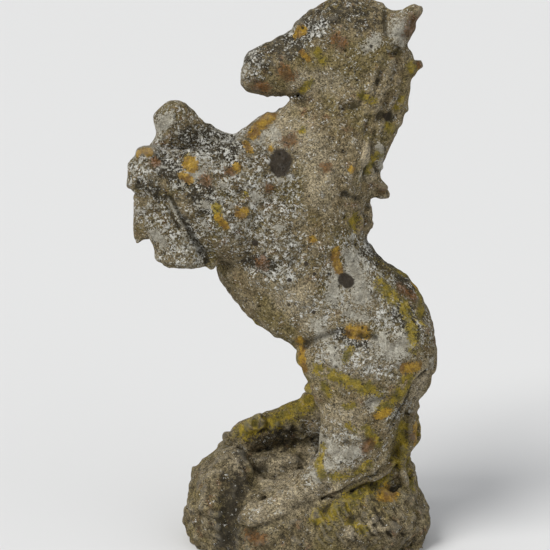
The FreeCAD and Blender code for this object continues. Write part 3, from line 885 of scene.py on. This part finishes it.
class Nodes:
    """Short calls for a node tree. Each gives back the socket that it makes."""

    def __init__(self, name):
        self.material = bpy.data.materials.new(name)
        self.material.use_nodes = True
        self.tree = self.material.node_tree
        self.shader = self.tree.nodes["Principled BSDF"]
        self.place = self.tree.nodes.new("ShaderNodeTexCoord").outputs["Object"]
        # The place moved a little at random, so that cells get ragged rims.
        cell, reach = 2.4 * UNIT, 2.2 * UNIT
        wobble = self.node("ShaderNodeTexNoise", {"Vector": self.place, "Scale": 1 / cell})
        shift = self.vector("MULTIPLY", wobble.outputs["Color"], (reach, reach, reach))
        self.wobbly = self.vector("ADD", self.place, shift)

    def link(self, value, socket):
        """Sets an input socket, from another socket or to a value."""
        if isinstance(value, bpy.types.NodeSocket):
            self.tree.links.new(value, socket)
        else:
            socket.default_value = value

    def node(self, kind, inputs=(), **settings):
        made = self.tree.nodes.new(kind)
        for key, value in settings.items():
            setattr(made, key, value)
        for key, value in dict(inputs).items():
            self.link(value, made.inputs[key])
        return made

    def math(self, operation, a, b):
        return self.node("ShaderNodeMath", {0: a, 1: b}, operation=operation).outputs[0]

    def vector(self, operation, a, b):
        return self.node("ShaderNodeVectorMath", {0: a, 1: b}, operation=operation).outputs[0]

    def times(self, value, factor):
        return self.math("MULTIPLY", value, factor)

    def plus(self, value, other, factor=1.0):
        """A value plus some part of another."""
        return self.math("ADD", value, other if factor == 1.0 else self.times(other, factor))

    def noise(self, size, detail, rough):
        """Smooth noise from 0 to 1, with bumps of about that size in units."""
        inputs = {"Vector": self.place, "Scale": 1 / (size * UNIT), "Detail": detail,
                  "Roughness": rough}
        return self.node("ShaderNodeTexNoise", inputs).outputs["Fac"]

    def cells(self, size):
        """Each ragged cell's own random value, and the distance from its middle."""
        inputs = {"Vector": self.wobbly, "Scale": 1 / (size * UNIT)}
        made = self.node("ShaderNodeTexVoronoi", inputs).outputs
        chance = self.node("ShaderNodeSeparateColor", {"Color": made["Color"]}).outputs[0]
        return chance, made["Distance"]

    def pits(self, size, share):
        """Round air holes: 1 inside, 0 outside. About that share of the cells has one."""
        largest = 0.26
        chance, distance = self.cells(size)
        radius = self.times(self.math("SUBTRACT", chance, 1 - share), largest / share)
        return self.step(self.math("SUBTRACT", radius, distance), -0.02, 0.05)

    def attribute(self, name):
        return self.node("ShaderNodeAttribute", attribute_name=name).outputs["Fac"]

    def step(self, value, low, high):
        """0 below low, 1 above high, eased between."""
        inputs = {"Value": value, "From Min": low, "From Max": high}
        return self.node("ShaderNodeMapRange", inputs, interpolation_type="SMOOTHSTEP").outputs[0]

    def mix(self, share, a, b, blend="MIX"):
        made = self.node("ShaderNodeMix", data_type="RGBA", blend_type=blend)
        self.link(share, made.inputs[0])
        for index, value in ((6, a), (7, b)):
            self.link((*value, 1.0) if isinstance(value, tuple) else value, made.inputs[index])
        return made.outputs[2]

    def cover(self, under, over, mask, strength):
        """Lays a colour over another where a mask is high."""
        return self.mix(self.times(mask, strength), under, over)

    def shade(self, color, value, strength):
        """Makes a colour lighter or darker with a value from 0 to 1."""
        return self.mix(1.0, color, self.math("ADD", self.times(value, 2 * strength), 1 - strength),
                        blend="MULTIPLY")

    def bump(self, height, strength, distance):
        inputs = {"Height": height, "Strength": strength, "Distance": distance * UNIT}
        return self.node("ShaderNodeBump", inputs).outputs["Normal"]

    def finish(self, color, roughness, normal):
        for key, value in (("Base Color", color), ("Roughness", roughness), ("Normal", normal)):
            self.link(value, self.shader.inputs[key])
        return self.material


GREEN_FILM = (0.150, 0.118, 0.042)
TAN_STAIN = (0.185, 0.098, 0.048)
# Clean cement, and on the boulder's knob a painted highlight.
CLEAN_CEMENT_AND_HIGHLIGHT = (0.312, 0.262, 0.172)
BLACK_ALGAE = (0.020, 0.017, 0.012)
GREY_CRUST, WHITE_CRUST = (0.275, 0.262, 0.215), (0.52, 0.515, 0.475)
# Dark spots, and in the mane's recess painted shade.
DARK_SPOT_AND_SHADE = (0.034, 0.026, 0.018)
# Painted shade for hollows and creases, and a painted highlight for ridges.
PAINTED_HOLLOW_SHADE, PAINTED_CREASE_SHADE = (0.030, 0.024, 0.012), (0.022, 0.018, 0.010)
PAINTED_RIDGE_HIGHLIGHT = (0.42, 0.39, 0.33)
AIR_HOLE = (0.020, 0.016, 0.011)
# Each growth's two colours, how much it hides, and how much the grit breaks its rim.
GROWTH_LOOKS = (
    # The pale growth is lichen, and on the foreleg's ridge and the mane's raised lock a painted
    # highlight.
    ("pale", (0.40, 0.380, 0.315), (0.25, 0.232, 0.185), 0.85, 0.70),
    ("moss", (0.270, 0.198, 0.018), (0.110, 0.092, 0.018), 0.90, 0.70),
    ("rust", (0.165, 0.072, 0.020), (0.085, 0.044, 0.016), 0.80, 0.75),
    ("ochre", (0.36, 0.220, 0.026), (0.165, 0.088, 0.020), 0.90, 0.35),
)


def stone_material(name, pale_sand, brown_sand, crusted, sooty):
    """Bare concrete, then black algae, crust lichen, coloured growths, painted shade in hollows and
    creases, a painted highlight on ridges, and air holes.
    """
    n = Nodes(name)
    hollow = n.attribute("hollow")
    crease = n.attribute("crease")
    normal = n.node("ShaderNodeNewGeometry").outputs["Normal"]
    up = n.node("ShaderNodeSeparateXYZ", {0: normal}).outputs[2]
    broad = n.noise(40, 3, 0.6)
    blotch = n.noise(13, 4, 0.65)
    fine, _ = n.cells(1.05)
    coarse, _ = n.cells(1.9)
    grit = n.math("SUBTRACT", n.times(n.plus(fine, coarse), 0.5), 0.5)

    # Bare concrete: brown sand in cement, a green-brown film in broad areas, tan stains.
    color = n.mix(n.step(blotch, 0.36, 0.64), brown_sand, pale_sand)
    film = n.plus(n.noise(27, 4, 0.6), n.step(n.attribute("film"), 0.0, 0.8), 0.15)
    color = n.cover(color, GREEN_FILM, n.step(film, 0.46, 0.66), 0.70)
    color = n.cover(color, TAN_STAIN, n.step(n.noise(12, 4, 0.65), 0.57, 0.70), 0.6)
    # Lighter clean cement in zones, which on the boulder's knob is a painted highlight.
    light = n.step(n.plus(n.attribute("light"), blotch, 1.4), 0.4, 1.4)
    color = n.cover(color, CLEAN_CEMENT_AND_HIGHLIGHT, light, 0.75)
    color = n.shade(color, fine, 0.72)
    color = n.shade(color, coarse, 0.34)

    # Black algae and pale crust, each where its own ragged noise is high enough.
    zone = n.step(n.plus(n.attribute("crust"), broad, 2.4), 0.7, 1.8)
    # The soot zones add black algae, and in the shaded places among them this is painted shade.
    soot_and_shade = n.step(n.plus(n.attribute("soot_and_shade"), blotch, 1.6), 0.5, 1.5)
    black = n.plus(n.plus(n.plus(n.noise(4.6, 5, 0.75), grit, 0.30), zone, 0.115), soot_and_shade, 0.19)
    black = n.step(n.plus(black, sooty), 0.64, 0.69)
    color = n.cover(color, BLACK_ALGAE, black, 0.88)
    white = n.plus(n.plus(n.plus(n.noise(9, 6, 0.78), grit, 0.52), zone, 0.15), up, 0.03)
    white = n.step(n.plus(white, crusted), 0.66, 0.71)
    crust = n.mix(n.step(n.noise(6, 3, 0.6), 0.40, 0.62), GREY_CRUST, WHITE_CRUST)
    color = n.cover(color, n.shade(crust, coarse, 0.25), white, 0.9)

    # Growths, whose rims the noise makes ragged. Moss has gaps of its own as well.
    ragged = n.plus(n.times(n.math("SUBTRACT", n.noise(3.4, 4, 0.7), 0.5), 1.7),
                    n.math("SUBTRACT", blotch, 0.5), 1.5)
    for kind, one, other, strength, broken in GROWTH_LOOKS:
        depth = n.plus(n.plus(n.attribute(kind), ragged), grit, 2 * broken)
        mask = n.times(n.step(depth, 0.0, 0.2), strength)
        if kind == "moss":
            mask = n.times(mask, n.step(n.noise(9, 4, 0.65), 0.37, 0.47))
        look = n.mix(n.step(n.noise(8, 3, 0.6), 0.36, 0.62), other, one)
        color = n.mix(mask, color, n.shade(look, fine, 0.30))
    # Dark growths, and in the mane's recess painted shade.
    spot = n.plus(n.plus(n.attribute("dark"), ragged, 0.35), grit, 0.25)
    color = n.cover(color, DARK_SPOT_AND_SHADE, n.step(spot, 0.0, 0.22), 0.95)

    # Painted shade in hollows and creases, a painted highlight on ridges, and air holes.
    color = n.cover(color, PAINTED_HOLLOW_SHADE, n.step(hollow, 0.2, 1.7), 0.6)
    color = n.cover(color, PAINTED_CREASE_SHADE, n.step(crease, 0.2, 1.1), 0.75)
    color = n.cover(color, PAINTED_RIDGE_HIGHLIGHT, n.step(crease, -0.2, -1.0), 0.14)
    holes = n.math("MAXIMUM", n.pits(6.5, 0.16), n.pits(3.6, 0.20))
    color = n.cover(color, AIR_HOLE, holes, 0.85)

    relief = n.plus(n.times(grit, 0.8), n.noise(2.6, 3, 0.7), 1.2)
    relief = n.math("SUBTRACT", n.plus(relief, white, 0.35), n.times(holes, 1.4))
    n.shader.inputs["Specular IOR Level"].default_value = 0.2
    return n.finish(color, 0.95, n.bump(relief, 1.0, 1.5))


def steel_material(name, rust, bare):
    """Hot rolled bar: rust in blotches over dark scale, and finely pitted."""
    n = Nodes(name)
    blotch = n.noise(7, 4, 0.6)
    pits = n.noise(0.7, 3, 0.6)
    fresh_rust = (0.30, 0.13, 0.05)
    color = n.mix(n.step(blotch, 0.35, 0.6), bare, rust)
    color = n.cover(color, fresh_rust, n.step(pits, 0.5, 0.7), 0.5)
    roughness = n.plus(0.55, blotch, 0.35)
    n.shader.inputs["Metallic"].default_value = 0.35
    return n.finish(color, roughness, n.bump(pits, 0.5, 0.3))


cast_stone = stone_material(
    "cast_stone", (0.235, 0.191, 0.112), (0.148, 0.112, 0.056), crusted=0.0, sooty=0.01)
damp_stone = stone_material(
    "base_stone", (0.225, 0.184, 0.108), (0.100, 0.078, 0.040), crusted=-0.07, sooty=0.06)
stone_piece("horse", horse_stone, "horse_casting", cast_stone)
stone_piece("rock_base", base_stone, "base_casting", damp_stone)

rusted = steel_material("rusted_steel", (0.16, 0.065, 0.030), (0.055, 0.048, 0.045))
wire = steel_material("tie_wire", (0.09, 0.045, 0.028), (0.035, 0.033, 0.034))
for row in frame["record"]["subparts"]:
    steel = {"rusted_steel": rusted, "tie_wire": wire}.get(row["material_slot"])
    if steel:
        mesh = frame["nodes"][row["node"]].data
        mesh.materials.clear()
        mesh.materials.append(steel)


# ---------------------------------------------------------------- floor, light and camera

def plain_material(name, color, roughness):
    material = bpy.data.materials.new(name)
    material.use_nodes = True
    shader = material.node_tree.nodes["Principled BSDF"]
    shader.inputs["Base Color"].default_value = (*color, 1)
    shader.inputs["Roughness"].default_value = roughness
    return material


def make_floor():
    """A floor that goes on past the picture, a hair below the underside."""
    half, gap = 40, 0.0002
    z = CAD_LOW.z - gap
    corners = [(-half, -half, z), (half, -half, z), (half, half, z), (-half, half, z)]
    mesh = bpy.data.meshes.new("floor")
    mesh.from_pydata(corners, [], [(0, 1, 2, 3)])
    floor = bpy.data.objects.new("floor", mesh)
    bpy.context.collection.objects.link(floor)
    mesh.materials.append(plain_material("floor", (0.655, 0.66, 0.665), 0.85))


def make_light(name, direction, spread, strength, color):
    """A wide soft light that shines along a direction. Its spread is in degrees."""
    light = bpy.data.lights.new(name, "SUN")
    light.angle = math.radians(spread)
    light.energy = strength
    light.color = color
    lamp = bpy.data.objects.new(name, light)
    bpy.context.collection.objects.link(lamp)
    lamp.rotation_euler = Vector(direction).to_track_quat("-Z", "Y").to_euler()


def make_world(color, strength):
    world = bpy.data.worlds.new("world")
    bpy.context.scene.world = world
    world.use_nodes = True
    background = world.node_tree.nodes["Background"]
    background.inputs["Color"].default_value = (*color, 1)
    background.inputs["Strength"].default_value = strength


def make_camera():
    """Looks along +Y from 12 degrees above. The picture is as wide as the statue is high."""
    distance, elevation, width = 1.5, math.radians(12), HEIGHT * UNIT
    aim = Vector((-34 * UNIT, 0, 276 * UNIT))
    data = bpy.data.cameras.new("camera")
    data.sensor_width = 36
    data.lens = data.sensor_width * distance / width
    camera = bpy.data.objects.new("camera", data)
    bpy.context.collection.objects.link(camera)
    camera.location = aim + distance * Vector((0, -math.cos(elevation), math.sin(elevation)))
    camera.rotation_euler = (math.pi / 2 - elevation, 0, 0)
    bpy.context.scene.camera = camera


make_floor()
make_light("key", (0.62, 0.55, -0.78), 34, 2.9, (1.0, 0.985, 0.955))
make_light("fill", (-0.8, 0.6, -0.45), 60, 0.55, (0.97, 0.98, 1.0))
make_world((0.975, 0.985, 1.0), 0.52)
make_camera()
bpy.context.scene.view_settings.view_transform = "Standard"
